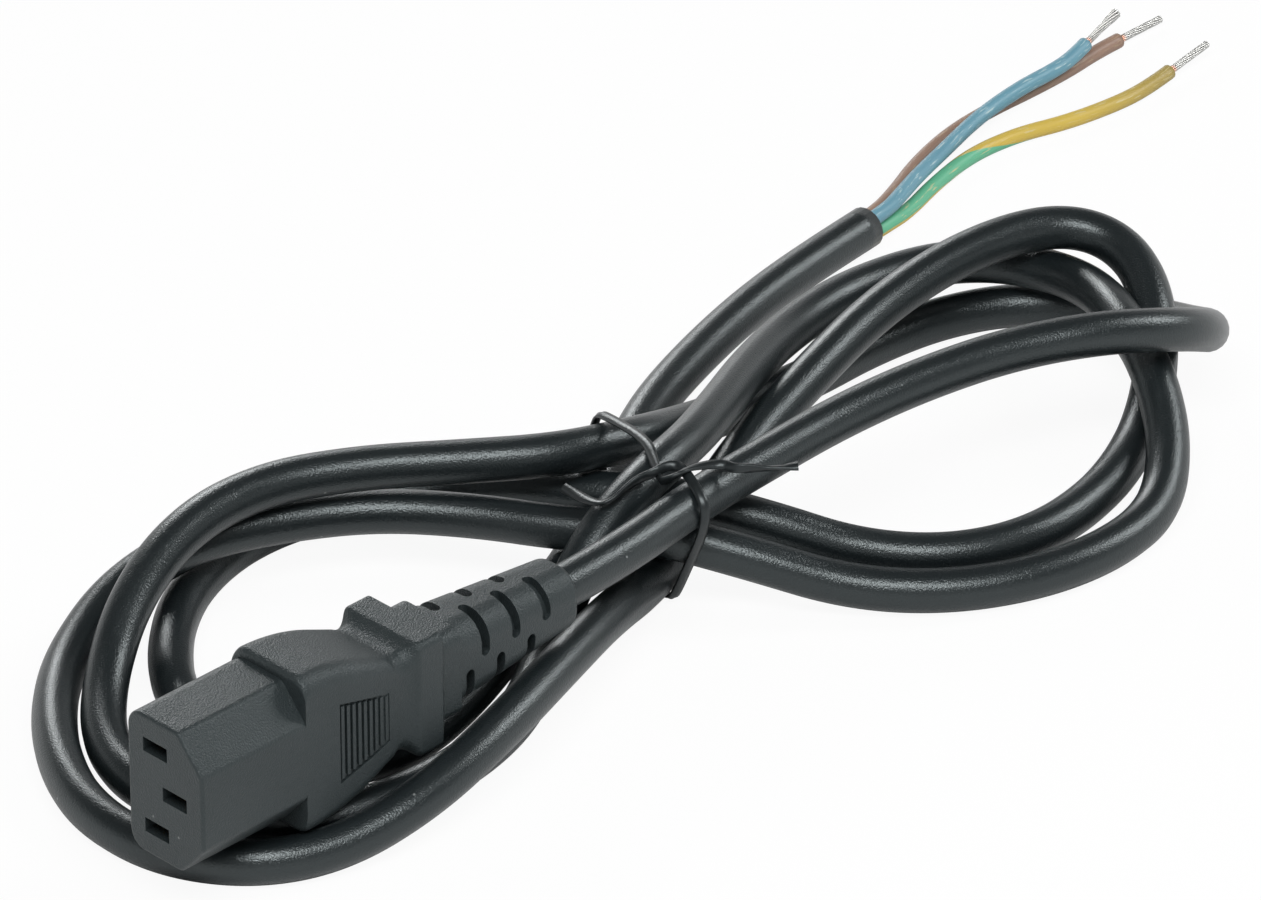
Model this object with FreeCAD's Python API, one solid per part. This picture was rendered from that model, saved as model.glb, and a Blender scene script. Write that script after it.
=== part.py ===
import FreeCAD, Part
import math
import os

# A mains power cord. One end carries a moulded C13 connector to IEC 60320, the other end is cut off and its
# three cores are stripped for wiring. It lies on a table as a loose figure of eight, and a twist tie holds
# the crossing. Millimetres, +Z up, the table top is Z = 0.

Vec = FreeCAD.Vector

# Cord, a three-core mains cord with round PVC sheath
CORD_DIAMETER = 7.0
SHEATH_WALL = 0.6
CORE_DIAMETER = 2.6
CONDUCTOR_DIAMETER = 1.3  # bared bundle of strands
CONDUCTOR_SEAT_DIAMETER = 0.9  # middle of the bundle, which holds it in the insulation
CORE_FIT = 0.05           # gap between the cores at the cut end, and between them and the sheath
CONDUCTOR_FIT = 0.02      # gap round a conductor in its insulation
CORD_FIT = 0.05           # gap round the cord in the strain relief
CORD_SEAT = 6.0           # length of cord held in the strain relief
CORD_LEAD = 10.0          # straight lead of the cord out of the strain relief
CORE_SEAT = 5.0           # depth of the open end of the sheath
CORE_LEAD = 4.0           # straight lead of a core out of the sheath
CONDUCTOR_SEAT = 4.0      # depth of a conductor in the end of its core
BARE_LENGTH = 10.5        # stripped length of a conductor
ARC_SHARE = 0.45          # share of the shorter run that each bend takes up

# Nose of the connector, with the line and neutral slots in a row and the earth slot beside them
NOSE_LENGTH = 20.8
NOSE_HEIGHT = 24.0
NOSE_DEPTH = 16.0
NOSE_CHAMFER_HEIGHT = 5.7
NOSE_CHAMFER_DEPTH = 5.0
NOSE_CORNER = 3.0
NOSE_CHAMFER_ROUNDING = 1.5
NOSE_EDGE = 0.6
TENON_LENGTH = 8.0
TENON_HEIGHT = 17.0
TENON_DEPTH = 10.0

# Contacts: slots in the face, wider pockets behind it, and a folded brass sleeve in each pocket
LINE_NEUTRAL_PITCH = 14.0
ROW_OFFSET = 2.0          # from the middle of the nose to the line and neutral row
EARTH_OFFSET = 2.0        # from the middle of the nose to the earth slot, on the other side
SLOT_LENGTH = 5.1
SLOT_WIDTH = 2.4
SLOT_DEPTH = 2.5          # wall of the face in front of the pockets
POCKET_LENGTH = 6.2
POCKET_WIDTH = 3.8
POCKET_DEPTH = 19.0       # from the face to the bottom of a pocket
CONTACT_FIT = 0.1
CONTACT_WALL = 0.5
CONTACT_SEAM = 0.6        # gap where the folded strip meets

# Grip, waist, collar and neck of the overmould
GRIP_DEPTH = 16.0
SHOULDER_HEIGHT = 27.2
HAUNCH_AT = 13.2          # from the shoulder to where the curve runs out into the straight taper
HAUNCH_HEIGHT = 22.0
LIP = 1.2                 # rounding of the front edge of the shoulder
CURVE_STEPS = 4           # sections that carry each curve
WAIST_AT = 20.0           # from the shoulder to the waist
WAIST_HEIGHT = 16.9
WAIST_DEPTH = 14.8
GRIP_ROUNDING = 3.0
FLARE_RADIUS = 4.0        # hollow curve of the waist, from the taper out to the collar
COLLAR_EDGE = 1.0         # round edge where that curve turns over into the collar
COLLAR_LENGTH = 4.0
COLLAR_HEIGHT = 19.8
COLLAR_DEPTH = 16.4
COLLAR_ROUNDING = 1.2
BEVEL_LENGTH = 1.7
NECK_LENGTH = 3.6
NECK_HEIGHT = 15.4
NECK_DEPTH = 13.6
NECK_ROUNDING = 2.4

# Ribbed panels, one on each wide side of the grip
PANEL_START = 6.8         # from the shoulder
PANEL_LENGTH = 10.3
PANEL_FRONT_HEIGHT = 13.8
PANEL_BACK_HEIGHT = 8.4
PANEL_DEPTH = 0.45
RIB_COUNT = 9
RIB_WIDTH = 0.6
RIB_MARGIN = 0.4          # clear edge round the ribs

# Strain relief: a tapered tube cut by staggered slots, each across one corner
RELIEF_LENGTH = 26.5
RELIEF_FRONT_HEIGHT = 14.4
RELIEF_FRONT_DEPTH = 12.8
RELIEF_BACK_HEIGHT = 10.6
RELIEF_BACK_DEPTH = 10.0
RELIEF_CORNER = 4.2
RELIEF_END_ROUNDING = 1.3
RELIEF_CUT_WIDTH = 1.8
RELIEF_CUT_PITCH = 6.7
RELIEF_CUT_COUNT = 3
RELIEF_CUT_START = 2.3    # from the neck to the middle of the first slot
RELIEF_CUT_STAGGER = 3.4  # from a slot to the next one, on the neighbouring corners
RELIEF_WEB = 0.5          # half of the web left between slots at the middle of a side
RELIEF_CORE = 9.2         # diameter of the uncut middle

# Twist tie: a flat band round the crossing, with two twisted tails
TIE_WIDTH = 1.8
TIE_THICKNESS = 0.8
TIE_TAIL_DIAMETER = 1.5
TIE_CORNER = 3.2          # inner radius where the band turns round a strand

# Lie of the connector: the middle of the back of the strain relief, and the way the cord leaves it
CORD_EXIT = Vec(-14.6, -76.6, 20.6)
CONNECTOR_HEADING = 45.0

# Route of the cord from the strain relief to the cut end, as it lies in the figure of eight
CORD_ROUTE = [
    # over the crossing, out to the right and round to the back
    (6.7, -50.5, 20.8), (17.2, -39.3, 21.3), (29.2, -27.4, 22.0), (42.2, -17.8, 23.0), (56.2, -10.3, 24.0),
    (70.7, -6.1, 24.5), (83.7, 0.7, 21.0), (89.0, 14.1, 12.8), (85.2, 28.4, 5.3), (73.7, 37.4, 3.5),
    # back along the table and up to the crossing
    (59.7, 38.9, 3.5), (47.2, 34.9, 3.5), (35.2, 25.9, 3.5), (24.2, 13.4, 4.0), (13.7, -0.1, 7.0),
    (4.7, -13.6, 11.7), (-3.8, -27.1, 17.3), (-15.3, -34.8, 19.2),
    # the middle left loop, which comes in under the connector
    (-30.3, -36.4, 19.0), (-45.3, -38.1, 19.0), (-59.8, -42.9, 19.0), (-71.3, -53.1, 18.0),
    (-79.3, -65.6, 13.0), (-83.0, -79.1, 6.0), (-82.5, -93.1, 3.6), (-76.6, -105.1, 3.5),
    (-65.3, -113.1, 3.5), (-51.8, -114.6, 3.5), (-39.3, -109.1, 3.5), (-28.8, -99.1, 3.5),
    (-21.3, -87.1, 3.5), (-17.3, -74.6, 4.0), (-14.5, -63.1, 8.6), (-8.3, -53.1, 17.0),
    # through the tie and round the middle right loop
    (-1.3, -42.6, 21.0), (5.2, -31.1, 20.0), (11.2, -17.1, 17.7), (16.7, -0.1, 14.8), (25.2, 16.9, 11.6),
    (34.2, 29.9, 10.8), (43.7, 38.7, 10.8), (55.2, 40.2, 10.8), (65.2, 34.4, 11.8), (71.2, 24.4, 13.8),
    (74.7, 12.4, 15.3), (78.7, 0.4, 13.6), (81.0, -11.6, 8.0), (79.2, -24.6, 3.8), (71.7, -36.1, 3.5),
    (59.7, -45.1, 3.5), (44.7, -49.6, 3.5), (29.7, -49.1, 4.2), (14.7, -48.6, 9.2), (0.7, -46.8, 12.6),
    (-13.3, -43.9, 11.5),
    # the outermost left loop, in front of the connector
    (-27.3, -39.1, 11.0), (-42.3, -37.4, 11.0), (-56.3, -40.6, 11.2), (-70.3, -47.1, 11.6),
    (-82.0, -54.1, 7.3), (-88.8, -67.1, 3.9), (-90.7, -82.1, 3.5), (-89.0, -98.1, 3.5),
    (-83.6, -112.1, 3.5), (-72.8, -122.6, 3.5), (-58.8, -125.9, 3.5), (-45.8, -121.1, 3.5),
    (-33.3, -112.6, 7.2), (-23.1, -99.1, 10.0), (-14.3, -81.9, 10.4), (-7.1, -65.6, 9.2),
    # under the tie and round the outer right loop
    (-0.6, -48.6, 4.5), (6.0, -31.6, 4.5), (14.7, -15.6, 8.6), (25.0, -0.1, 12.0), (34.9, 14.9, 14.8),
    (45.2, 26.4, 17.4), (55.7, 33.2, 19.0), (64.7, 37.4, 18.8), (72.2, 36.3, 17.8), (77.5, 30.2, 16.0),
    (80.0, 20.4, 12.8), (79.7, 8.9, 7.0), (76.2, -5.1, 3.6), (69.7, -20.6, 3.5), (59.7, -33.1, 3.5),
    (46.2, -39.1, 3.5), (31.7, -38.6, 4.2), (17.7, -38.6, 9.5), (4.2, -36.6, 12.4), (-8.3, -33.4, 11.7),
    # the inner left loop
    (-20.3, -27.6, 9.2), (-32.8, -22.6, 5.3), (-45.8, -22.6, 3.5), (-58.3, -29.1, 3.5),
    (-67.3, -39.6, 3.5), (-72.3, -52.1, 3.5), (-73.8, -65.6, 3.5), (-72.3, -79.1, 3.5),
    (-66.6, -91.1, 3.5), (-56.8, -98.6, 3.5), (-44.8, -98.6, 3.5), (-35.3, -91.6, 3.5),
    # under the connector and out to the cut end
    (-28.8, -80.6, 3.5), (-23.3, -68.1, 3.6), (-17.8, -55.1, 4.0), (-12.3, -41.1, 4.0), (-8.3, -26.1, 3.7),
    (-5.0, -10.6, 3.5), (-1.0, 4.7, 3.5), (5.7, 19.9, 3.5), (14.7, 36.4, 3.5), (24.5, 50.6, 3.5),
    (34.9, 63.5, 3.5),
]

# Each core: the angle of its place in the cut end, seen along the cord with 0 to the right and 90 up, and
# its route from there to the end of its insulation
CORES = {
    "brown": (180.0, [(40.0, 77.7, 2.0), (43.5, 87.9, 1.3), (49.0, 97.9, 1.3), (56.2, 106.5, 1.3),
                      (63.5, 113.5, 1.3), (70.2, 120.6, 1.3), (75.0, 126.8, 1.3), (78.8, 130.7, 1.3)]),
    "blue": (60.0, [(40.8, 72.2, 4.7), (43.6, 79.2, 4.2), (48.3, 89.9, 3.0), (54.0, 100.2, 3.3),
                    (60.9, 108.5, 4.1), (67.2, 114.9, 4.2), (70.3, 119.0, 4.2), (72.8, 123.1, 4.7)]),
    "green_yellow": (-60.0, [(42.0, 72.2, 1.5), (46.6, 81.7, 1.3), (52.7, 91.2, 1.3), (60.5, 98.1, 1.3),
                             (69.0, 102.4, 1.3), (77.3, 108.5, 1.3), (82.8, 113.8, 1.4), (86.8, 118.7, 1.9)]),
}
CONDUCTORS = {"brown": "brown_conductor", "blue": "blue_conductor", "green_yellow": "earth_conductor"}

# Band of the tie: a point of its upright plane, the way the plane runs, and the middles of its corners, each
# as a distance along the plane and a height
TIE_POINT = Vec(7.2, -51.1, 0.0)
TIE_HEADING = 118.5
TIE_CORNERS = [(-0.7, 21.4), (1.6, 11.0), (8.1, 4.12), (13.3, 4.12), (28.3, 17.2), (27.6, 18.2), (13.6, 21.1)]
TIE_TAILS = [
    [(4.8, -47.0, 24.9), (3.4, -49.6, 26.1), (0.6, -50.8, 26.2), (-2.4, -51.7, 25.7), (-5.3, -53.3, 24.7),
     (-8.4, -53.7, 23.4), (-11.2, -52.0, 22.5), (-13.8, -49.6, 22.0)],
    [(4.5, -46.4, 24.9), (5.4, -48.6, 26.3), (8.2, -49.0, 26.6), (11.3, -48.6, 26.2), (14.7, -49.4, 26.2),
     (18.3, -50.0, 26.5), (22.0, -50.7, 26.8)],
]


def rounded_path(points):
    """Straight runs joined by tangent arcs, and the radii of the arcs."""
    edges = []
    radii = []
    at = points[0]
    for before, corner, after in zip(points, points[1:], points[2:]):
        back = (before - corner).normalize()
        ahead = (after - corner).normalize()
        half_turn = (math.pi - back.getAngle(ahead)) / 2
        reach = ARC_SHARE * min((before - corner).Length, (after - corner).Length)
        radius = reach / math.tan(half_turn)
        inward = (back + ahead).normalize()
        start = corner + back * reach
        middle = corner + inward * (radius / math.cos(half_turn) - radius)
        end = corner + ahead * reach
        edges.append(Part.LineSegment(at, start).toShape())
        edges.append(Part.Arc(start, middle, end).toShape())
        radii.append(radius)
        at = end
    edges.append(Part.LineSegment(at, points[-1]).toShape())
    return Part.Wire(edges), radii


def tube(points, diameter, name):
    """A round solid along the rounded path through the points."""
    path, radii = rounded_path(points)
    ring = Part.Wire(Part.makeCircle(diameter / 2, points[0], points[1] - points[0]))
    solid = path.makePipeShell([ring], True, False)
    print(name, "length %.1f" % path.Length, "radii", " ".join("%.0f" % radius for radius in sorted(radii)))
    return solid


def box(x_span, y_span, z_span):
    """A box from its span along each axis."""
    low = Vec(x_span[0], y_span[0], z_span[0])
    return Part.makeBox(x_span[1] - x_span[0], y_span[1] - y_span[0], z_span[1] - z_span[0], low)


def section(x, height, depth, corner):
    """The outline of a rounded rectangle across the connector, as a wire at one station."""

    def spot(y_side, z_side, angle):
        y = y_side * (depth / 2 - corner) + corner * math.cos(math.radians(angle))
        z = z_side * (height / 2 - corner) + corner * math.sin(math.radians(angle))
        return Vec(x, y, z)

    edges = []
    for y_side, z_side, angle in [(1, 1, 0), (-1, 1, 90), (-1, -1, 180), (1, -1, 270)]:
        start = spot(y_side, z_side, angle)
        if edges:
            edges.append(Part.LineSegment(edges[-1].EndPoint, start))
        edges.append(Part.Arc(start, spot(y_side, z_side, angle + 45), spot(y_side, z_side, angle + 90)))
    edges.append(Part.LineSegment(edges[-1].EndPoint, edges[0].StartPoint))
    return Part.Wire([edge.toShape() for edge in edges])


def block(sections):
    """A solid with flat or evenly tapered sides through a row of sections."""
    return Part.makeLoft([section(*values) for values in sections], True, True)


def curved(sections):
    """A solid with smooth sides through a row of sections."""
    return Part.makeLoft([section(*values) for values in sections], True, False)


# Slope of the waist's hollow curve where it leaves the taper and where it turns over into the collar
FLARE_RISE = (COLLAR_HEIGHT - WAIST_HEIGHT) / 2
FLARE_TURN = math.acos(1 - FLARE_RISE / (FLARE_RADIUS + COLLAR_EDGE))
HOLLOW_MIDDLE = Vec(WAIST_AT - HAUNCH_AT, 0, (WAIST_HEIGHT - HAUNCH_HEIGHT) / 2 + FLARE_RADIUS)
TAPER_TURN = math.atan2(HOLLOW_MIDDLE.z, HOLLOW_MIDDLE.x) - math.asin(FLARE_RADIUS / HOLLOW_MIDDLE.Length)

# Stations along the connector, from its face
SHOULDER = NOSE_LENGTH
WAIST = SHOULDER + WAIST_AT
COLLAR_FRONT = WAIST + (FLARE_RADIUS + COLLAR_EDGE) * math.sin(FLARE_TURN)
COLLAR_BACK = COLLAR_FRONT + COLLAR_LENGTH
NECK_FRONT = COLLAR_BACK + BEVEL_LENGTH
RELIEF_FRONT = NECK_FRONT + NECK_LENGTH
RELIEF_BACK = RELIEF_FRONT + RELIEF_LENGTH


def contact_places():
    """The middle of each contact across the nose: +Y is the line and neutral side."""
    return {
        "line_contact": (ROW_OFFSET, LINE_NEUTRAL_PITCH / 2),
        "neutral_contact": (ROW_OFFSET, -LINE_NEUTRAL_PITCH / 2),
        "earth_contact": (-EARTH_OFFSET, 0.0),
    }


def oblong(x_span, place, length, width):
    """A box on the place of a contact, long across the nose."""
    y, z = place
    return box(x_span, (y - length / 2, y + length / 2), (z - width / 2, z + width / 2))


def tenon():
    """The back of the nose that the overmould holds."""
    return box((SHOULDER, SHOULDER + TENON_LENGTH), (-TENON_DEPTH / 2, TENON_DEPTH / 2),
               (-TENON_HEIGHT / 2, TENON_HEIGHT / 2))


def nose_insert():
    """The hard front: a chamfered prism with three slots and the pockets behind them."""
    half_y = NOSE_DEPTH / 2
    half_z = NOSE_HEIGHT / 2
    outline = [(half_y, half_z), (NOSE_CHAMFER_DEPTH - half_y, half_z),
               (-half_y, half_z - NOSE_CHAMFER_HEIGHT)]
    outline += [(y, -z) for y, z in reversed(outline)]
    corners = [Vec(0, y, z) for y, z in outline]
    prism = Part.Face(Part.makePolygon(corners + corners[:1])).extrude(Vec(NOSE_LENGTH, 0, 0))
    long_edges = [edge for edge in prism.Edges if edge.BoundBox.XLength > NOSE_LENGTH / 2]
    prism = prism.makeFillet(NOSE_CORNER, [edge for edge in long_edges if edge.BoundBox.YMin > half_y / 2])
    long_edges = [edge for edge in prism.Edges if edge.BoundBox.XLength > NOSE_LENGTH / 2]
    chamfer_edges = [edge for edge in long_edges if edge.BoundBox.YMax < half_y / 2 - NOSE_CORNER]
    prism = prism.makeFillet(NOSE_CHAMFER_ROUNDING, chamfer_edges)
    front = [edge for edge in prism.Edges if edge.BoundBox.XMax < NOSE_LENGTH / 2]
    nose = prism.makeFillet(NOSE_EDGE, front).fuse(tenon())
    for place in contact_places().values():
        nose = nose.cut(oblong((0, SLOT_DEPTH), place, SLOT_LENGTH, SLOT_WIDTH))
        nose = nose.cut(oblong((SLOT_DEPTH, POCKET_DEPTH), place, POCKET_LENGTH, POCKET_WIDTH))
    return nose.removeSplitter()


def contact(place):
    """A folded sleeve that stands on the bottom of its pocket."""
    length = POCKET_LENGTH - 2 * CONTACT_FIT
    width = POCKET_WIDTH - 2 * CONTACT_FIT
    span = (SLOT_DEPTH + CONTACT_FIT, POCKET_DEPTH)
    inner_span = (span[0], span[1] - CONTACT_WALL)
    sleeve = oblong(span, place, length, width)
    sleeve = sleeve.cut(oblong(inner_span, place, length - 2 * CONTACT_WALL, width - 2 * CONTACT_WALL))
    side = (place[0] + length / 2, place[1])
    return sleeve.cut(oblong(inner_span, side, 2 * CONTACT_WALL, CONTACT_SEAM))


def hollow(angle):
    """A spot of the waist's hollow curve by its slope: how far along from the waist, and how far out."""
    return FLARE_RADIUS * math.sin(angle), FLARE_RADIUS * (1 - math.cos(angle))


def waist_section(along, out):
    """The section of the overmould at a spot between the taper and the collar."""
    share = out / FLARE_RISE
    return (WAIST + along, WAIST_HEIGHT + 2 * out, WAIST_DEPTH + share * (COLLAR_DEPTH - WAIST_DEPTH),
            GRIP_ROUNDING + share * (COLLAR_ROUNDING - GRIP_ROUNDING))


def grip():
    """The waisted grip: a round lip at the shoulder, a round haunch behind it, and a taper to the waist."""
    shoulder = Vec(SHOULDER + LIP, 0, SHOULDER_HEIGHT / 2)
    haunch = Vec(SHOULDER + HAUNCH_AT, 0, HAUNCH_HEIGHT / 2)
    taper = Vec(math.cos(TAPER_TURN), 0, math.sin(TAPER_TURN))
    inward = Vec(taper.z, 0, -taper.x)
    chord = shoulder - haunch
    radius = chord.Length ** 2 / (2 * chord.dot(inward))
    centre = haunch + inward * radius
    lip = []
    sides = []
    for number in range(CURVE_STEPS + 1):
        share = number / CURVE_STEPS
        angle = share * math.pi / 2
        x = SHOULDER + LIP * (1 - math.cos(angle))
        height = SHOULDER_HEIGHT - 2 * LIP * (1 - math.sin(angle))
        lip.append((x, height, GRIP_DEPTH, GRIP_ROUNDING))
        x = shoulder.x + share * (haunch.x - shoulder.x)
        height = 2 * (centre.z + math.sqrt(radius ** 2 - (x - centre.x) ** 2))
        sides.append((x, height, GRIP_DEPTH, GRIP_ROUNDING))
    back = block([sides[-1], waist_section(*hollow(TAPER_TURN))])
    return curved(lip).fuse([curved(sides), back])


def flare():
    """The hollow of the waist, which turns over into the collar's round edge."""
    length = COLLAR_FRONT - WAIST
    steps = [number / CURVE_STEPS for number in range(CURVE_STEPS + 1)]
    spots = [hollow(TAPER_TURN + share * (FLARE_TURN - TAPER_TURN)) for share in steps]
    for share in reversed(steps[:-1]):
        angle = share * FLARE_TURN
        drop = COLLAR_EDGE * (1 - math.cos(angle))
        spots.append((length - COLLAR_EDGE * math.sin(angle), FLARE_RISE - drop))
    return curved([waist_section(*spot) for spot in spots])


def panel(side):
    """The recess of a ribbed panel less its ribs, as one cutting solid on one wide side."""
    start = SHOULDER + PANEL_START
    outer = side * GRIP_DEPTH / 2
    inner = side * (GRIP_DEPTH / 2 - PANEL_DEPTH)

    def half_height(x):
        share = (x - start) / PANEL_LENGTH
        return (PANEL_FRONT_HEIGHT + share * (PANEL_BACK_HEIGHT - PANEL_FRONT_HEIGHT)) / 2

    end = start + PANEL_LENGTH
    corners = [Vec(start, inner, half_height(start)), Vec(end, inner, half_height(end)),
               Vec(end, inner, -half_height(end)), Vec(start, inner, -half_height(start))]
    recess = Part.Face(Part.makePolygon(corners + corners[:1])).extrude(Vec(0, outer - inner, 0))
    pitch = PANEL_LENGTH / RIB_COUNT
    for number in range(RIB_COUNT):
        middle = start + (number + 0.5) * pitch
        half = half_height(middle + RIB_WIDTH / 2) - RIB_MARGIN
        rib = box((middle - RIB_WIDTH / 2, middle + RIB_WIDTH / 2), sorted((inner, outer)), (-half, half))
        recess = recess.cut(rib)
    return recess


def relief_cut(x, y_side, z_side):
    """One slot across a corner of the strain relief, with round ends, down to the uncut middle."""
    radius = RELIEF_CUT_WIDTH / 2
    far = RELIEF_FRONT_HEIGHT
    near = RELIEF_WEB + radius
    corner = Vec(x, y_side * near, z_side * near)
    cut = box((x - radius, x + radius), sorted((y_side * near, y_side * far)),
              sorted((z_side * near, z_side * far)))
    cut = cut.fuse(Part.makeCylinder(radius, far - near, corner, Vec(0, 0, z_side)))
    cut = cut.fuse(Part.makeCylinder(radius, far - near, corner, Vec(0, y_side, 0)))
    uncut = Part.makeCylinder(RELIEF_CORE / 2, RELIEF_CUT_WIDTH, Vec(x - radius, 0, 0), Vec(1, 0, 0))
    return cut.cut(uncut)


def strain_relief():
    """The tapered tail with its staggered slots."""
    tail = block([(RELIEF_FRONT, RELIEF_FRONT_HEIGHT, RELIEF_FRONT_DEPTH, RELIEF_CORNER),
                  (RELIEF_BACK, RELIEF_BACK_HEIGHT, RELIEF_BACK_DEPTH, RELIEF_CORNER)])
    end_edges = [edge for edge in tail.Edges if edge.BoundBox.XMin > RELIEF_BACK - RELIEF_END_ROUNDING]
    tail = tail.makeFillet(RELIEF_END_ROUNDING, end_edges)
    for number in range(RELIEF_CUT_COUNT):
        first = RELIEF_FRONT + RELIEF_CUT_START + number * RELIEF_CUT_PITCH
        for side in (1, -1):
            tail = tail.cut(relief_cut(first, -side, -side))
            tail = tail.cut(relief_cut(first + RELIEF_CUT_STAGGER, -side, side))
    return tail


def grip_overmould():
    """Grip, flare, collar, neck and strain relief in one moulding, with the seats of nose and cord."""
    collar = block([(COLLAR_FRONT, COLLAR_HEIGHT, COLLAR_DEPTH, COLLAR_ROUNDING),
                    (COLLAR_BACK, COLLAR_HEIGHT, COLLAR_DEPTH, COLLAR_ROUNDING)])
    neck = block([(COLLAR_BACK, COLLAR_HEIGHT, COLLAR_DEPTH, COLLAR_ROUNDING),
                  (NECK_FRONT, NECK_HEIGHT, NECK_DEPTH, NECK_ROUNDING),
                  (RELIEF_FRONT, NECK_HEIGHT, NECK_DEPTH, NECK_ROUNDING)])
    moulding = grip().fuse([flare(), collar, neck, strain_relief()])
    for side in (1, -1):
        moulding = moulding.cut(panel(side))
    bottom = Vec(RELIEF_BACK - CORD_SEAT, 0, 0)
    seat = Part.makeCylinder(CORD_DIAMETER / 2 + CORD_FIT, CORD_SEAT, bottom, Vec(1, 0, 0))
    return moulding.cut(tenon()).cut(seat).removeSplitter()


def laid(shape):
    """A piece of the connector, turned and moved to where it lies."""
    shape = shape.copy()
    shape.translate(Vec(-RELIEF_BACK, 0, 0))
    shape.rotate(Vec(0, 0, 0), Vec(0, 0, 1), CONNECTOR_HEADING)
    shape.translate(CORD_EXIT)
    return shape


def cord_points():
    """The cord from its seat in the strain relief to its cut end."""
    heading = math.radians(CONNECTOR_HEADING)
    away = Vec(math.cos(heading), math.sin(heading), 0)
    return [CORD_EXIT - away * CORD_SEAT, CORD_EXIT + away * CORD_LEAD] + [Vec(*spot) for spot in CORD_ROUTE]


def cut_end():
    """The middle of the cut end of the sheath and the way the cord points there."""
    points = cord_points()
    return points[-1], (points[-1] - points[-2]).normalize()


def cord_sheath():
    """The sheath, open at its cut end as far as the cores are seated."""
    end, away = cut_end()
    bore = Part.makeCylinder(CORD_DIAMETER / 2 - SHEATH_WALL, CORE_SEAT, end - away * CORE_SEAT, away)
    return tube(cord_points(), CORD_DIAMETER, "cord_sheath").cut(bore)


def core_points(colour):
    """A core from the bottom of the open end of the sheath to the end of its insulation."""
    end, away = cut_end()
    right = away.cross(Vec(0, 0, 1)).normalize()
    angle, route = CORES[colour]
    reach = CORD_DIAMETER / 2 - SHEATH_WALL - CORE_FIT - CORE_DIAMETER / 2
    place = right * (reach * math.cos(math.radians(angle))) + Vec(0, 0, reach * math.sin(math.radians(angle)))
    start = end + place
    return [start - away * CORE_SEAT, start + away * CORE_LEAD] + [Vec(*spot) for spot in route]


def core_end(colour):
    """The end of a core's insulation and the way it points."""
    points = core_points(colour)
    return points[-1], (points[-1] - points[-2]).normalize()


def core(colour):
    """The insulation of one core, bored at its end for the conductor."""
    end, away = core_end(colour)
    bottom = end - away * CONDUCTOR_SEAT
    bore = Part.makeCylinder(CONDUCTOR_SEAT_DIAMETER / 2 + CONDUCTOR_FIT, CONDUCTOR_SEAT, bottom, away)
    return tube(core_points(colour), CORE_DIAMETER, colour).cut(bore)


def conductor(colour):
    """The bared conductor, from the bottom of its seat in the insulation."""
    end, away = core_end(colour)
    bottom = end - away * CONDUCTOR_SEAT
    seated = Part.makeCylinder(CONDUCTOR_SEAT_DIAMETER / 2, CONDUCTOR_SEAT, bottom, away)
    return Part.makeCylinder(CONDUCTOR_DIAMETER / 2, BARE_LENGTH, end, away).fuse(seated)


def band_face(offset):
    """The area inside the line that runs round the tie's corners at one distance from their middles."""
    heading = math.radians(TIE_HEADING)
    along = Vec(math.cos(heading), math.sin(heading), 0)
    middles = [TIE_POINT + along * reach + Vec(0, 0, height) for reach, height in TIE_CORNERS]
    facing = along.cross(Vec(0, 0, 1))
    outward = []
    for here, following in zip(middles, middles[1:] + middles[:1]):
        outward.append((following - here).cross(facing).normalize())
    inner = sum(middles, Vec(0, 0, 0)) * (1.0 / len(middles))
    if outward[0].dot(middles[0] - inner) < 0:
        outward = [way * -1.0 for way in outward]
    edges = []
    for number, spot in enumerate(middles):
        before = outward[number - 1]
        after = outward[number]
        start = spot + before * offset
        end = spot + after * offset
        following = middles[(number + 1) % len(middles)] + after * offset
        edges.append(Part.Arc(start, spot + (before + after).normalize() * offset, end).toShape())
        edges.append(Part.LineSegment(end, following).toShape())
    return Part.Face(Part.Wire(edges)), facing


def twist_tie():
    """The flat band round the crossing strands, with its two tails."""
    outer, facing = band_face(TIE_CORNER + TIE_THICKNESS)
    inner, facing = band_face(TIE_CORNER)
    band = outer.cut(inner)
    band.translate(facing * (-TIE_WIDTH / 2))
    tie = band.extrude(facing * TIE_WIDTH)
    for number, tail in enumerate(TIE_TAILS):
        tie = tie.fuse(tube([Vec(*spot) for spot in tail], TIE_TAIL_DIAMETER, "tie tail %d" % (number + 1)))
    return tie.removeSplitter()


def main():
    pieces = {"nose_insert": laid(nose_insert()), "grip_overmould": laid(grip_overmould())}
    for name, place in contact_places().items():
        pieces[name] = laid(contact(place))
    pieces["cord_sheath"] = cord_sheath()
    for colour, name in CONDUCTORS.items():
        pieces[colour + "_core"] = core(colour)
        pieces[name] = conductor(colour)
    pieces["twist_tie"] = twist_tie()
    os.makedirs("parts", exist_ok=True)
    for name, shape in pieces.items():
        shape.exportStep("parts/" + name + ".step")
        spread = shape.BoundBox
        print(name, "solids", len(shape.Solids), "valid", shape.isValid(), "volume %.0f" % shape.Volume,
              "x %.1f %.1f y %.1f %.1f z %.2f %.2f" % (spread.XMin, spread.XMax, spread.YMin, spread.YMax,
                                                       spread.ZMin, spread.ZMax))


main()
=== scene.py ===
import math

import bpy
from mathutils import Matrix, Vector


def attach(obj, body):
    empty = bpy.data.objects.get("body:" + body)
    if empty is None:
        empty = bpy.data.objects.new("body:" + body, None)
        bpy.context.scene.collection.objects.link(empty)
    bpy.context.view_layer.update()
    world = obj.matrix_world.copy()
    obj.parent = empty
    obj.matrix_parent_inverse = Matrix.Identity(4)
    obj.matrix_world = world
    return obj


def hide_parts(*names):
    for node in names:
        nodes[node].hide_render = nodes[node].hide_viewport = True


# A mains power cord with a moulded C13 connector, laid as a loose figure of eight
# and held by a twist tie. Metres, +Z up, the table top is Z = 0.

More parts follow.
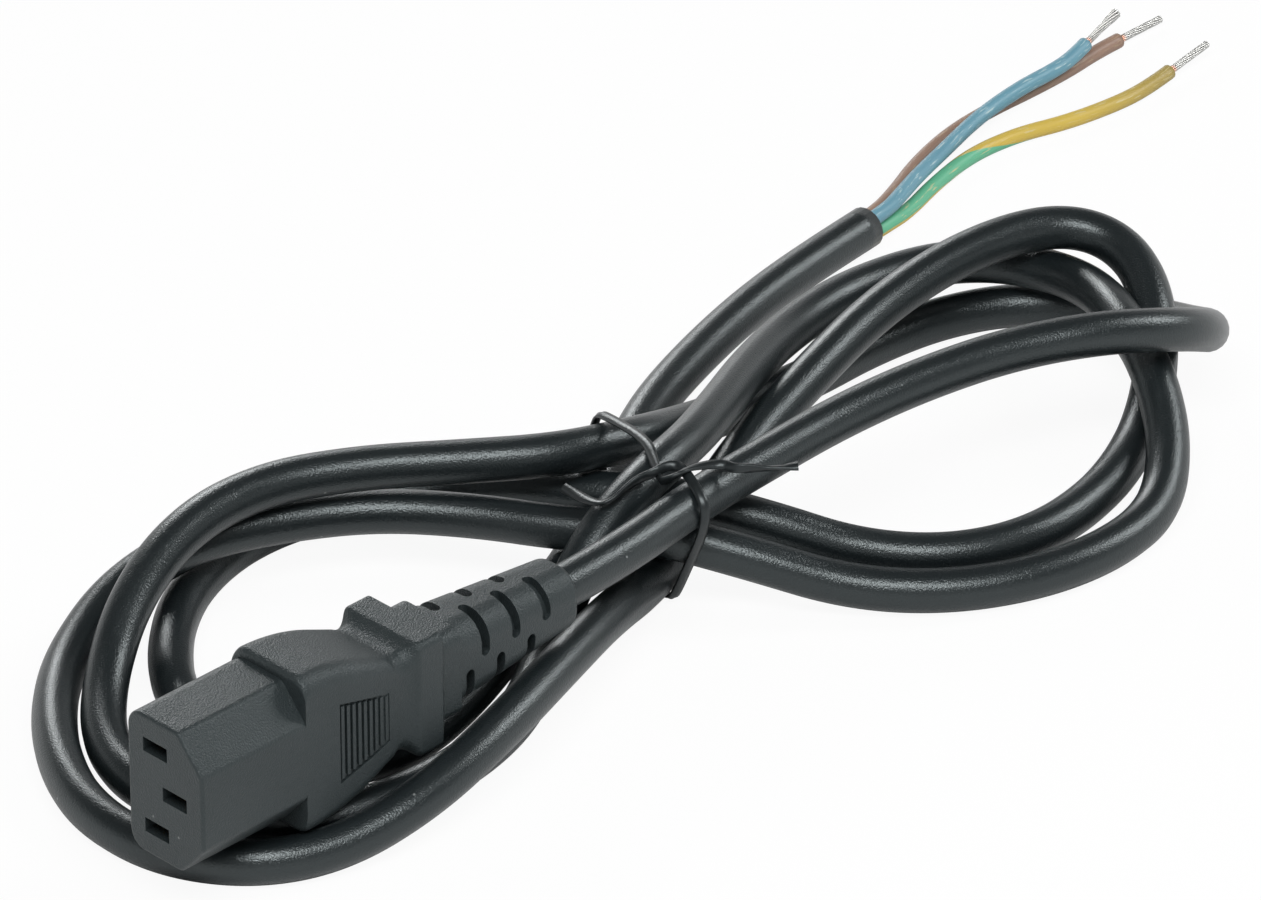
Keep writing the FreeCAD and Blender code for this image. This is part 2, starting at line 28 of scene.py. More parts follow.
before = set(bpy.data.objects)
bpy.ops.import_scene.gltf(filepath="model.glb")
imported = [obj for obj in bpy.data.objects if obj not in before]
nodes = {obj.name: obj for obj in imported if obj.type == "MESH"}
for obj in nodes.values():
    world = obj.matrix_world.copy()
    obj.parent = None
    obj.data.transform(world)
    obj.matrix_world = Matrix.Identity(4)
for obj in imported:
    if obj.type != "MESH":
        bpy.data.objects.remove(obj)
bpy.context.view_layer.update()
bpy.ops.object.select_all(action="DESELECT")

# Sizes shared with the CAD source
CORD_DIAMETER = 0.0070
SHEATH_WALL = 0.0006
CORE_DIAMETER = 0.0026
CONDUCTOR_DIAMETER = 0.0013
BARE_LENGTH = 0.0105          # stripped length of a conductor
CORD_SEAT = 0.006             # length of cord held in the strain relief
CORD_LEAD = 0.010             # straight lead of the cord out of the strain relief
CORE_SEAT = 0.005             # depth of the open end of the sheath
CORE_LEAD = 0.004             # straight lead of a core out of the sheath
CORE_FIT = 0.00005            # gap round a core in the sheath, and round the strands in a core
CORD_EXIT = Vector((-0.0146, -0.0766, 0.0206))   # where the cord leaves the strain relief
CONNECTOR_HEADING = math.radians(45.0)
CONNECTOR_WAY = Vector((math.cos(CONNECTOR_HEADING), math.sin(CONNECTOR_HEADING), 0.0))   # face to cord
RELIEF_LENGTH = 0.0265        # part of the connector that the slotted strain relief takes up
UP = Vector((0.0, 0.0, 1.0))

# Finer sizes, chosen to look like the photograph
EDGE_SOFTNESS = 0.00018       # rounding of the connector's moulded edges
STRAND_DIAMETER = 0.00034
STRANDS = 9                   # in the outer layer of a conductor
STRAND_TWIST = math.radians(150.0)   # from end to end
STRAND_SEAT = 0.001           # length of the strands inside the insulation
FLARE_START = 0.55            # share of the strands' length from which splayed ones open
STRIPE_HALF = math.radians(85.0)   # half of the green side of the earth core
STRIPE_TURN = (0.27, 0.64)    # shares of the core's length between which the stripe winds over
STRIPE_PLACE = (0.20, 0.82)   # where the middle of the green lies round the core before and after that

# Fineness of the meshes
LINE_STEPS = 12               # steps along a line between two of its points
CORD_SKIN = 8                 # bevel resolution of the cord
CORE_SKIN = 5                 # bevel resolution of a core
STRAND_SIDES = 10
STRAND_STEPS = 30             # steps along a strand
HEART_SIDES = 16              # sides of the round middle of a conductor
EDGE_STEPS = 3                # faces across a rounded edge
SHARP_EDGE = math.radians(32.0)      # edges that turn by more than this are rounded
SMOOTH_EDGE = math.radians(40.0)     # edges that turn by less than this are shaded smooth
STRAND_CREASE = math.radians(50.0)   # the same on the strands
MERGE_REACH = 0.000002        # points of a CAD mesh that lie nearer than this are one

# Route of the cord from the strain relief to the cut end
CORD_ROUTE = [
    # over the crossing, out to the right and round to the back
    (0.0067, -0.0505, 0.0208), (0.0172, -0.0393, 0.0213), (0.0292, -0.0274, 0.0220),
    (0.0422, -0.0178, 0.0230), (0.0562, -0.0103, 0.0240), (0.0707, -0.0061, 0.0245),
    (0.0837, 0.0007, 0.0210), (0.0890, 0.0141, 0.0128), (0.0852, 0.0284, 0.0053),
    (0.0737, 0.0374, 0.0035),
    # back along the table and up to the crossing
    (0.0597, 0.0389, 0.0035), (0.0472, 0.0349, 0.0035), (0.0352, 0.0259, 0.0035),
    (0.0242, 0.0134, 0.0040), (0.0137, -0.0001, 0.0070), (0.0047, -0.0136, 0.0117),
    (-0.0038, -0.0271, 0.0173), (-0.0153, -0.0348, 0.0192),
    # the middle left loop, which comes in under the connector
    (-0.0303, -0.0364, 0.0190), (-0.0453, -0.0381, 0.0190), (-0.0598, -0.0429, 0.0190),
    (-0.0713, -0.0531, 0.0180), (-0.0793, -0.0656, 0.0130), (-0.0830, -0.0791, 0.0060),
    (-0.0825, -0.0931, 0.0036), (-0.0766, -0.1051, 0.0035), (-0.0653, -0.1131, 0.0035),
    (-0.0518, -0.1146, 0.0035), (-0.0393, -0.1091, 0.0035), (-0.0288, -0.0991, 0.0035),
    (-0.0213, -0.0871, 0.0035), (-0.0173, -0.0746, 0.0040), (-0.0145, -0.0631, 0.0086),
    (-0.0083, -0.0531, 0.0170),
    # through the tie and round the middle right loop
    (-0.0003, -0.0430, 0.0210), (0.0057, -0.0316, 0.0200), (0.0104, -0.0172, 0.0177),
    (0.0153, -0.0003, 0.0148), (0.0217, 0.0169, 0.0116), (0.0312, 0.0302, 0.0108),
    (0.0437, 0.0387, 0.0108), (0.0552, 0.0402, 0.0108), (0.0652, 0.0344, 0.0118),
    (0.0712, 0.0244, 0.0138), (0.0747, 0.0124, 0.0153), (0.0787, 0.0004, 0.0136),
    (0.0810, -0.0116, 0.0080), (0.0792, -0.0246, 0.0038), (0.0717, -0.0361, 0.0035),
    (0.0597, -0.0451, 0.0035), (0.0447, -0.0496, 0.0035), (0.0297, -0.0491, 0.0042),
    (0.0147, -0.0486, 0.0092), (0.0007, -0.0468, 0.0126), (-0.0133, -0.0439, 0.0115),
    # the outermost left loop, in front of the connector
    (-0.0273, -0.0391, 0.0110), (-0.0423, -0.0374, 0.0110), (-0.0563, -0.0406, 0.0112),
    (-0.0703, -0.0471, 0.0116), (-0.0820, -0.0541, 0.0073), (-0.0888, -0.0671, 0.0039),
    (-0.0907, -0.0821, 0.0035), (-0.0890, -0.0981, 0.0035), (-0.0836, -0.1121, 0.0035),
    (-0.0728, -0.1226, 0.0035), (-0.0588, -0.1259, 0.0035), (-0.0458, -0.1211, 0.0035),
    (-0.0333, -0.1126, 0.0072), (-0.0231, -0.0991, 0.0100), (-0.0143, -0.0819, 0.0104),
    (-0.0071, -0.0656, 0.0092),
    # under the tie and round the outer right loop
    (-0.0006, -0.0486, 0.0045), (0.0060, -0.0316, 0.0045), (0.0139, -0.0154, 0.0086),
    (0.0239, -0.0001, 0.0120), (0.0340, 0.0151, 0.0148), (0.0452, 0.0264, 0.0174),
    (0.0557, 0.0332, 0.0190), (0.0647, 0.0374, 0.0188), (0.0722, 0.0363, 0.0178),
    (0.0775, 0.0302, 0.0160), (0.0800, 0.0204, 0.0128), (0.0797, 0.0089, 0.0070),
    (0.0762, -0.0051, 0.0036), (0.0697, -0.0206, 0.0035), (0.0597, -0.0331, 0.0035),
    (0.0462, -0.0391, 0.0035), (0.0317, -0.0386, 0.0042), (0.0177, -0.0386, 0.0095),
    (0.0042, -0.0366, 0.0124), (-0.0083, -0.0334, 0.0117),
    # the inner left loop
    (-0.0203, -0.0276, 0.0092), (-0.0328, -0.0226, 0.0053), (-0.0458, -0.0226, 0.0035),
    (-0.0583, -0.0291, 0.0035), (-0.0673, -0.0396, 0.0035), (-0.0723, -0.0521, 0.0035),
    (-0.0738, -0.0656, 0.0035), (-0.0723, -0.0791, 0.0035), (-0.0666, -0.0911, 0.0035),
    (-0.0568, -0.0986, 0.0035), (-0.0448, -0.0986, 0.0035), (-0.0353, -0.0916, 0.0035),
    # under the connector and out to the cut end
    (-0.0288, -0.0806, 0.0035), (-0.0233, -0.0681, 0.0036), (-0.0178, -0.0551, 0.0040),
    (-0.0123, -0.0411, 0.0040), (-0.0083, -0.0261, 0.0037), (-0.0050, -0.0106, 0.0035),
    (-0.0010, 0.0047, 0.0035), (0.0057, 0.0199, 0.0035), (0.0147, 0.0364, 0.0035),
    (0.0245, 0.0506, 0.0035), (0.0349, 0.0635, 0.0035),
]

# Each core: the angle of its place in the cut end in degrees, and its route to the end of its insulation
CORES = {
    "brown": (180.0, [
        (0.0400, 0.0777, 0.0020), (0.0435, 0.0879, 0.0013), (0.0490, 0.0979, 0.0013),
        (0.0562, 0.1065, 0.0013), (0.0635, 0.1135, 0.0013), (0.0702, 0.1206, 0.0013),
        (0.0750, 0.1268, 0.0013), (0.0788, 0.1307, 0.0013)]),
    "blue": (60.0, [
        (0.0408, 0.0722, 0.0047), (0.0436, 0.0792, 0.0042), (0.0483, 0.0899, 0.0030),
        (0.0540, 0.1002, 0.0033), (0.0609, 0.1085, 0.0041), (0.0672, 0.1149, 0.0042),
        (0.0703, 0.1190, 0.0042), (0.0728, 0.1231, 0.0047)]),
    "green_yellow": (-60.0, [
        (0.0420, 0.0722, 0.0015), (0.0466, 0.0817, 0.0013), (0.0527, 0.0912, 0.0013),
        (0.0605, 0.0981, 0.0013), (0.0690, 0.1024, 0.0013), (0.0773, 0.1085, 0.0013),
        (0.0828, 0.1138, 0.0014), (0.0868, 0.1187, 0.0019)]),
}
CONDUCTORS = {"brown": "brown_conductor", "blue": "blue_conductor", "green_yellow": "earth_conductor"}
SPLAY = {"brown": 0.0, "blue": 0.49, "green_yellow": 0.0}   # how far the strands open at the tip

# The tie: the turn of its band round the bundle, as distances along its heading and heights
TIE_POINT = Vector((0.0056, -0.0520, 0.0))
TIE_HEADING = math.radians(118.5)
TIE_CORNERS = [(-0.0005, 0.0209), (0.0043, 0.0122), (0.0082, 0.0051), (0.0118, 0.0051),
               (0.0222, 0.0124), (0.0266, 0.0168), (0.0262, 0.0179), (0.0130, 0.0207)]
TIE_REACH = 0.00457           # from a corner to the middle of the band
SLIGHT_BEND = 1.01            # a bend that stands out by less than this share of the reach is slight
TIE_LEFT_TAIL = [(-0.0137, -0.0466, 0.0205), (-0.0121, -0.0487, 0.0208), (-0.0103, -0.0511, 0.0212),
                 (-0.0081, -0.0533, 0.0217), (-0.0062, -0.0530, 0.0223), (-0.0045, -0.0513, 0.0231),
                 (-0.0024, -0.0499, 0.0241), (0.0001, -0.0501, 0.0253), (0.0019, -0.0489, 0.0258),
                 (0.0036, -0.0487, 0.0258), (0.0047, -0.0501, 0.0259)]
TIE_RIGHT_TAIL = [(0.0002, -0.0468, 0.0247), (0.0008, -0.0490, 0.0244), (0.0011, -0.0511, 0.0244),
                  (0.0023, -0.0520, 0.0253), (0.0037, -0.0520, 0.0261), (0.0052, -0.0504, 0.0262),
                  (0.0083, -0.0489, 0.0261), (0.0107, -0.0486, 0.0259), (0.0124, -0.0500, 0.0260),
                  (0.0150, -0.0501, 0.0262), (0.0176, -0.0507, 0.0264), (0.0202, -0.0507, 0.0267),
                  (0.0220, -0.0505, 0.0268)]
# upper half of the strip's section, across and up
TIE_HALF_SECTION = [(-0.00082, 0.0), (-0.00075, 0.00024), (-0.00038, 0.00030), (0.0, 0.00046),
                    (0.00038, 0.00030), (0.00075, 0.00024), (0.00082, 0.0)]
BAND_TILT = math.radians(26.0)         # turn of the section about the line of the strip
LEFT_TAIL_TURN = math.radians(200.0)   # further turn from the band to the tip of a tail
RIGHT_TAIL_TURN = math.radians(420.0)

# Finishes
SPECK_COLOUR = (0.16, 0.17, 0.17)
SPECK_PLACES = 260.0          # places to a metre where a speck of dust may lie
SPECK_SIZE = (0.04, 0.07)     # core and edge of a speck, as shares of a place's width
SPECK_CHOICE = 0.80           # a place has a speck if its random shade is above this
COLD_SHEEN = (0.90, 0.99, 1.0, 1.0)
INSULATION_ROUGHNESS = (0.36, 0.56)
INSULATION_GRAIN = 2200.0     # scale of the noise, to a metre
INSULATION_RELIEF = 0.00004
STREAK_SCALE = (6.0, 14.0, 1.0)      # streaks along a core and round it
SCUFF_SCALE = (20.0, 20.0, 1.0)      # scuffs along a core and round it
SCUFF_EDGE = (0.60, 0.68)     # levels of the noise between which a scuff begins
SCUFF_STRENGTH = 0.7
STRIPE_SOFTNESS = 0.05        # of the border between green and yellow
WORN_END = (0.70, 1.0)        # shares of the earth core's length between which its yellow wears
METAL_GRAIN = 900.0
METAL_RELIEF = 0.00003
TIN_PATCHES = 1500.0
BARE_COPPER = (0.13, 0.22)    # shares of a strand's length between which the copper turns to tin
COPPER_STRENGTH = 0.9


def new_material(name):
    """A material with its tree and its shader."""
    material = bpy.data.materials.new(name)
    material.use_nodes = True
    return material, material.node_tree, material.node_tree.nodes["Principled BSDF"]


def new_finish(name):
    """A material with its tree, its shader and a source of coordinates."""
    material, tree, shader = new_material(name)
    return material, tree, shader, tree.nodes.new("ShaderNodeTexCoord")


def noise(tree, place, scale, detail=3.0):
    """Noise at one scale, counted to a unit of the place."""
    node = tree.nodes.new("ShaderNodeTexNoise")
    node.inputs["Scale"].default_value = scale
    node.inputs["Detail"].default_value = detail
    tree.links.new(place, node.inputs["Vector"])
    return node.outputs["Fac"]


def spread(tree, value, low, high, start=0.0, end=1.0):
    """A value that goes from low to high while another goes from start to end."""
    node = tree.nodes.new("ShaderNodeMapRange")
    node.inputs["From Min"].default_value = start
    node.inputs["From Max"].default_value = end
    node.inputs["To Min"].default_value = low
    node.inputs["To Max"].default_value = high
    tree.links.new(value, node.inputs["Value"])
    return node.outputs["Result"]


def shade(tree, value, dark, light):
    """A colour between two, by a value from 0 to 1; either may be a link or plain numbers."""
    node = tree.nodes.new("ShaderNodeMix")
    node.data_type = "RGBA"
    for socket, colour in (("A", dark), ("B", light)):
        if isinstance(colour, tuple):
            node.inputs[socket].default_value = (*colour, 1.0)
        else:
            tree.links.new(colour, node.inputs[socket])
    tree.links.new(value, node.inputs["Factor"])
    return node.outputs["Result"]


def work(tree, operation, first, second):
    """One step of arithmetic; the second may be a link or a plain number."""
    node = tree.nodes.new("ShaderNodeMath")
    node.operation = operation
    tree.links.new(first, node.inputs[0])
    if isinstance(second, float):
        node.inputs[1].default_value = second
    else:
        tree.links.new(second, node.inputs[1])
    return node.outputs["Value"]


def stretched(tree, place, scale):
    """Coordinates drawn out along some of their directions."""
    node = tree.nodes.new("ShaderNodeMapping")
    node.inputs["Scale"].default_value = scale
    tree.links.new(place, node.inputs["Vector"])
    return node.outputs["Vector"]


def grain(tree, shader, height, distance):
    """Fine relief on the surface."""
    node = tree.nodes.new("ShaderNodeBump")
    node.inputs["Distance"].default_value = distance
    tree.links.new(height, node.inputs["Height"])
    tree.links.new(node.outputs["Normal"], shader.inputs["Normal"])


def dust(tree, place, colour, speck):
    """A few pale specks on a colour."""
    cells = tree.nodes.new("ShaderNodeTexVoronoi")
    cells.inputs["Scale"].default_value = SPECK_PLACES
    tree.links.new(place, cells.inputs["Vector"])
    spots = spread(tree, cells.outputs["Distance"], 1.0, 0.0, *SPECK_SIZE)
    chosen = work(tree, "GREATER_THAN", cells.outputs["Color"], SPECK_CHOICE)
    return shade(tree, work(tree, "MULTIPLY", spots, chosen), colour, speck)


def plastic(name, dark, light, cloud_scale, gloss, roughness, grain_scale, grain_depth):
    """Moulded plastic: clouds of colour, specks of dust, and a fine grain that the roughness follows."""
    material, tree, shader, coords = new_finish(name)
    place = coords.outputs["Object"]
    colour = shade(tree, noise(tree, place, cloud_scale), dark, light)
    tree.links.new(dust(tree, place, colour, SPECK_COLOUR), shader.inputs["Base Color"])
    fine = noise(tree, place, grain_scale, detail=2.0)
    tree.links.new(spread(tree, fine, *roughness), shader.inputs["Roughness"])
    shader.inputs["Specular Tint"].default_value = COLD_SHEEN
    shader.inputs["Specular IOR Level"].default_value = gloss
    grain(tree, shader, fine, grain_depth)
    return material


def scuffed(tree, coords, shader, colour, scuff):
    """Pale scuffs along a core, with the roughness and the relief of drawn insulation."""
    marks = noise(tree, stretched(tree, coords.outputs["UV"], SCUFF_SCALE), 1.0, detail=2.0)
    worn = spread(tree, marks, 0.0, SCUFF_STRENGTH, *SCUFF_EDGE)
    tree.links.new(shade(tree, worn, colour, scuff), shader.inputs["Base Color"])
    fine = noise(tree, coords.outputs["Object"], INSULATION_GRAIN)
    tree.links.new(spread(tree, fine, *INSULATION_ROUGHNESS), shader.inputs["Roughness"])
    grain(tree, shader, fine, INSULATION_RELIEF)


def drawn_insulation(name, dark, light, scuff):
    """Insulation of one colour, streaked along its length."""
    material, tree, shader, coords = new_finish(name)
    streaks = noise(tree, stretched(tree, coords.outputs["UV"], STREAK_SCALE), 1.0)
    scuffed(tree, coords, shader, shade(tree, streaks, dark, light), scuff)
    return material


def striped_insulation(name, green, yellow, worn_yellow, scuff):
    """Insulation in two colours, whose border winds along the core."""
    material, tree, shader, coords = new_finish(name)
    parts = tree.nodes.new("ShaderNodeSeparateXYZ")
    tree.links.new(coords.outputs["UV"], parts.inputs["Vector"])
    wound = spread(tree, parts.outputs["X"], *STRIPE_PLACE, *STRIPE_TURN)
    wound.node.interpolation_type = "SMOOTHSTEP"
    turn = work(tree, "SUBTRACT", parts.outputs["Y"], wound)
    side = work(tree, "COSINE", work(tree, "MULTIPLY", turn, 2 * math.pi), 0.0)
    border = math.cos(STRIPE_HALF)
    is_green = spread(tree, side, 0.0, 1.0, border - STRIPE_SOFTNESS, border + STRIPE_SOFTNESS)
    aged = shade(tree, spread(tree, parts.outputs["X"], 0.0, 1.0, *WORN_END), yellow, worn_yellow)
    scuffed(tree, coords, shader, shade(tree, is_green, aged, green), scuff)
    return material


def metal(name, dark, light, roughness):
    """Metal with a streaky finish."""
    material, tree, shader, coords = new_finish(name)
    shader.inputs["Metallic"].default_value = 1.0
    streaks = noise(tree, coords.outputs["Object"], METAL_GRAIN)
    tree.links.new(shade(tree, streaks, dark, light), shader.inputs["Base Color"])
    tree.links.new(spread(tree, streaks, *roughness), shader.inputs["Roughness"])
    grain(tree, shader, streaks, METAL_RELIEF)
    return material


def tinned_strands(name, dark, light, copper, roughness):
    """Tinned copper strands, with bare copper where they leave the insulation."""
    material, tree, shader, coords = new_finish(name)
    shader.inputs["Metallic"].default_value = 1.0
    height = tree.nodes.new("ShaderNodeAttribute")
    height.attribute_name = "along_strand"
    patches = noise(tree, coords.outputs["Object"], TIN_PATCHES)
    tin = shade(tree, patches, dark, light)
    bare = spread(tree, height.outputs["Fac"], COPPER_STRENGTH, 0.0, *BARE_COPPER)
    tree.links.new(shade(tree, bare, tin, copper), shader.inputs["Base Color"])
    tree.links.new(spread(tree, patches, *roughness), shader.inputs["Roughness"])
    grain(tree, shader, patches, METAL_RELIEF)
    return material


sheath_black = plastic(
    "sheath_black", dark=(0.0060, 0.0088, 0.0100), light=(0.0090, 0.0122, 0.0134), cloud_scale=60.0,
    gloss=0.70, roughness=(0.24, 0.36), grain_scale=3400.0, grain_depth=0.00007)
connector_grey = plastic(
    "connector_grey", dark=(0.0145, 0.0198, 0.0212), light=(0.022, 0.0284, 0.030), cloud_scale=90.0,
    gloss=0.48, roughness=(0.30, 0.50), grain_scale=3600.0, grain_depth=0.00014)
tie_black = plastic(
    "tie_black", dark=(0.007, 0.009, 0.010), light=(0.011, 0.013, 0.014), cloud_scale=200.0,
    gloss=0.55, roughness=(0.28, 0.40), grain_scale=2000.0, grain_depth=0.00003)
insulation = {
    "brown": drawn_insulation(
        "brown_insulation", dark=(0.20, 0.122, 0.088), light=(0.32, 0.205, 0.148),
        scuff=(0.38, 0.28, 0.18)),
    "blue": drawn_insulation(
        "blue_insulation", dark=(0.090, 0.235, 0.310), light=(0.150, 0.325, 0.405),
        scuff=(0.42, 0.56, 0.57)),
    "green_yellow": striped_insulation(
        "green_yellow_insulation", green=(0.105, 0.40, 0.235), yellow=(0.54, 0.39, 0.065),
        worn_yellow=(0.33, 0.25, 0.070), scuff=(0.55, 0.48, 0.25)),
}
tinned_wire = tinned_strands(
    "tinned_wire", dark=(0.30, 0.30, 0.29), light=(0.66, 0.66, 0.64),
    copper=(0.80, 0.36, 0.22), roughness=(0.22, 0.46))
contact_brass = metal(
    "contact_brass", dark=(0.62, 0.44, 0.17), light=(0.80, 0.62, 0.30), roughness=(0.25, 0.40))


def wear(piece, material):
    """One material all over a piece."""
    piece.data.materials.clear()
    piece.data.materials.append(material)


def select_only(piece):
    """The piece alone, selected and active."""
    bpy.ops.object.select_all(action="DESELECT")
    piece.select_set(True)
    bpy.context.view_layer.objects.active = piece


def stand_for(piece, node):
    """The piece rides with the cord and takes the place of a CAD node, which is hidden."""
    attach(piece, "root")
    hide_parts(node)


def smooth_line(name, points):
    """A smooth line with the given points as its control points."""
    curve = bpy.data.curves.new(name, "CURVE")
    curve.dimensions = "3D"
    curve.resolution_u = LINE_STEPS
    spline = curve.splines.new("NURBS")
    spline.points.add(len(points) - 1)
    for point, place in zip(spline.points, points):
        point.co = (*place, 1.0)
    spline.order_u = 3
    spline.use_endpoint_u = True
    line = bpy.data.objects.new(name, curve)
    bpy.context.scene.collection.objects.link(line)
    return line


def line_points(line):
    """The points along a line that has no thickness yet."""
    mesh = bpy.data.meshes.new_from_object(line)
    points = [vertex.co.copy() for vertex in mesh.vertices]
    bpy.data.meshes.remove(mesh)
    return points


def made_mesh(line):
    """A line with a thickness, made a smooth mesh."""
    select_only(line)
    bpy.ops.object.convert(target="MESH")
    bpy.ops.object.shade_smooth()


def round_skin(line, diameter, resolution):
    """The line as a round tube with open ends, made a mesh."""
    line.data.bevel_depth = diameter / 2
    line.data.bevel_resolution = resolution
    made_mesh(line)


def select_rim(piece, place, reach):
    """In edit mode, the open edge of the piece near one place."""
    bpy.ops.mesh.select_mode(type="EDGE")
    bpy.ops.mesh.select_all(action="DESELECT")
    bpy.ops.mesh.select_non_manifold(extend=False)
    bpy.ops.object.mode_set(mode="OBJECT")
    mesh = piece.data
    for edge in mesh.edges:
        middle = (mesh.vertices[edge.vertices[0]].co + mesh.vertices[edge.vertices[1]].co) / 2
        if (middle - place).length > reach:
            edge.select = False
    for vertex in mesh.vertices:
        if (vertex.co - place).length > reach:
            vertex.select = False
    bpy.ops.object.mode_set(mode="EDIT")


def open_end(piece, end, away, diameter, wall, depth):
    """A cut end with the thickness of its wall, bored to a depth and closed at the bottom."""
    select_only(piece)
    bpy.ops.object.mode_set(mode="EDIT")
    select_rim(piece, end, diameter)
    bpy.ops.mesh.extrude_region_move()
    share = 1 - 2 * wall / diameter
    bpy.ops.transform.resize(value=(share, share, share), center_override=end)
    bpy.ops.mesh.extrude_region_move(TRANSFORM_OT_translate={"value": -away * depth})
    bpy.ops.mesh.edge_face_add()
    bpy.ops.object.mode_set(mode="OBJECT")


def closed_end(piece, end, diameter):
    """A flat cap on an open end."""
    select_only(piece)
    bpy.ops.object.mode_set(mode="EDIT")
    select_rim(piece, end, diameter)
    bpy.ops.mesh.edge_face_add()
    bpy.ops.object.mode_set(mode="OBJECT")


def strand_bundle(name, end, away, splay):
    """Twisted strands that come out of the end of a core; a splay opens them at the tip."""
    ring = (CONDUCTOR_DIAMETER - STRAND_DIAMETER) / 2
    length = BARE_LENGTH + STRAND_SEAT
    # the flare grows from the origin, so the part below the flare lies below it
    low = -FLARE_START * length
    bpy.ops.mesh.primitive_circle_add(vertices=STRAND_SIDES, radius=STRAND_DIAMETER / 2,
                                      location=(ring, 0.0, low))
    bundle = bpy.context.object
    bundle.name = name
    bpy.ops.object.transform_apply(location=True, rotation=True, scale=True)
    bpy.ops.object.mode_set(mode="EDIT")
    bpy.ops.mesh.select_all(action="SELECT")
    bpy.ops.mesh.spin(steps=STRANDS - 1, dupli=True, angle=2 * math.pi * (STRANDS - 1) / STRANDS,
                      center=(0.0, 0.0, low), axis=(0.0, 0.0, 1.0))
    bpy.ops.mesh.primitive_circle_add(vertices=HEART_SIDES, radius=ring, location=(0.0, 0.0, low))
    bpy.ops.object.mode_set(mode="OBJECT")
    winding = bundle.modifiers.new("winding", "SCREW")
    winding.angle = STRAND_TWIST
    winding.screw_offset = length
    winding.steps = STRAND_STEPS
    winding.render_steps = STRAND_STEPS
    bpy.ops.object.modifier_apply(modifier="winding")
    bpy.ops.object.mode_set(mode="EDIT")
    bpy.ops.mesh.select_all(action="SELECT")
    bpy.ops.mesh.fill_holes(sides=0)
    bpy.ops.mesh.select_all(action="SELECT")
    bpy.ops.mesh.normals_make_consistent(inside=False)
    bpy.ops.object.mode_set(mode="OBJECT")
    if splay:
        flare = bundle.modifiers.new("flare", "SIMPLE_DEFORM")
        flare.deform_method = "TAPER"
        flare.deform_axis = "Z"
        flare.factor = splay
        flare.limits = (FLARE_START, 1.0)
        bpy.ops.object.modifier_apply(modifier="flare")
    bpy.ops.object.shade_smooth_by_angle(angle=STRAND_CREASE)
    height = bundle.data.attributes.new("along_strand", "FLOAT", "POINT")
    for vertex in bundle.data.vertices:
        height.data[vertex.index].value = (vertex.co.z - low) / length
    turned = UP.rotation_difference(away).to_matrix().to_4x4()
    bundle.matrix_world = Matrix.Translation(end - away * (STRAND_SEAT + low)) @ turned
    bpy.ops.object.transform_apply(location=True, rotation=True, scale=True)
    wear(bundle, tinned_wire)
    return bundle


def soft_edged(name, node):
    """A copy of a moulded CAD piece, its sharp edges rounded except on the slotted strain relief."""
    piece = nodes[node].copy()
    piece.data = nodes[node].data.copy()
    piece.name = name
    bpy.context.scene.collection.objects.link(piece)
    select_only(piece)
    bpy.ops.object.mode_set(mode="EDIT")
    bpy.ops.mesh.select_all(action="SELECT")
    bpy.ops.mesh.remove_doubles(threshold=MERGE_REACH)
    bpy.ops.mesh.select_mode(type="EDGE")
    bpy.ops.mesh.select_all(action="DESELECT")
    bpy.ops.mesh.edges_select_sharp(sharpness=SHARP_EDGE)
    bpy.ops.object.mode_set(mode="OBJECT")
    for edge in piece.data.edges:
        middle = sum((piece.data.vertices[number].co for number in edge.vertices), Vector()) / 2
        if (CORD_EXIT - middle).dot(CONNECTOR_WAY) < RELIEF_LENGTH:
            edge.select = False
    bpy.ops.object.mode_set(mode="EDIT")
    bpy.ops.mesh.bevel(offset=EDGE_SOFTNESS, segments=EDGE_STEPS, clamp_overlap=True)
    bpy.ops.mesh.customdata_custom_splitnormals_clear()
    bpy.ops.object.mode_set(mode="OBJECT")
    bpy.ops.object.shade_smooth_by_angle(angle=SMOOTH_EDGE)
    evened = piece.modifiers.new("evened", "WEIGHTED_NORMAL")
    evened.keep_sharp = True
    bpy.ops.object.modifier_apply(modifier="evened")
    wear(piece, connector_grey)
    return piece


def band_points():
    """Control points of the tie's band, three at each corner and one at a slight bend."""
    along = Vector((math.cos(TIE_HEADING), math.sin(TIE_HEADING), 0.0))
    corners = [Vector(corner) for corner in TIE_CORNERS]
    points = []
    for before, corner, after in zip(corners[-1:] + corners[:-1], corners, corners[1:] + corners[:1]):
        way_in = (corner - before).normalized()
        way_out = (after - corner).normalized()
        out_before = Vector((way_in.y, -way_in.x))
        out_after = Vector((way_out.y, -way_out.x))
        middle = (out_before + out_after).normalized()
        # far enough out for a line of order 3 to pass the corner at the reach
        further = (4 - middle.dot(out_before)) / 3
        outs = [out_before, middle * further, out_after] if further > SLIGHT_BEND else [middle]
        for out in outs:
            place = corner + out * TIE_REACH
            points.append(TIE_POINT + along * place.x + UP * place.y)
    return points


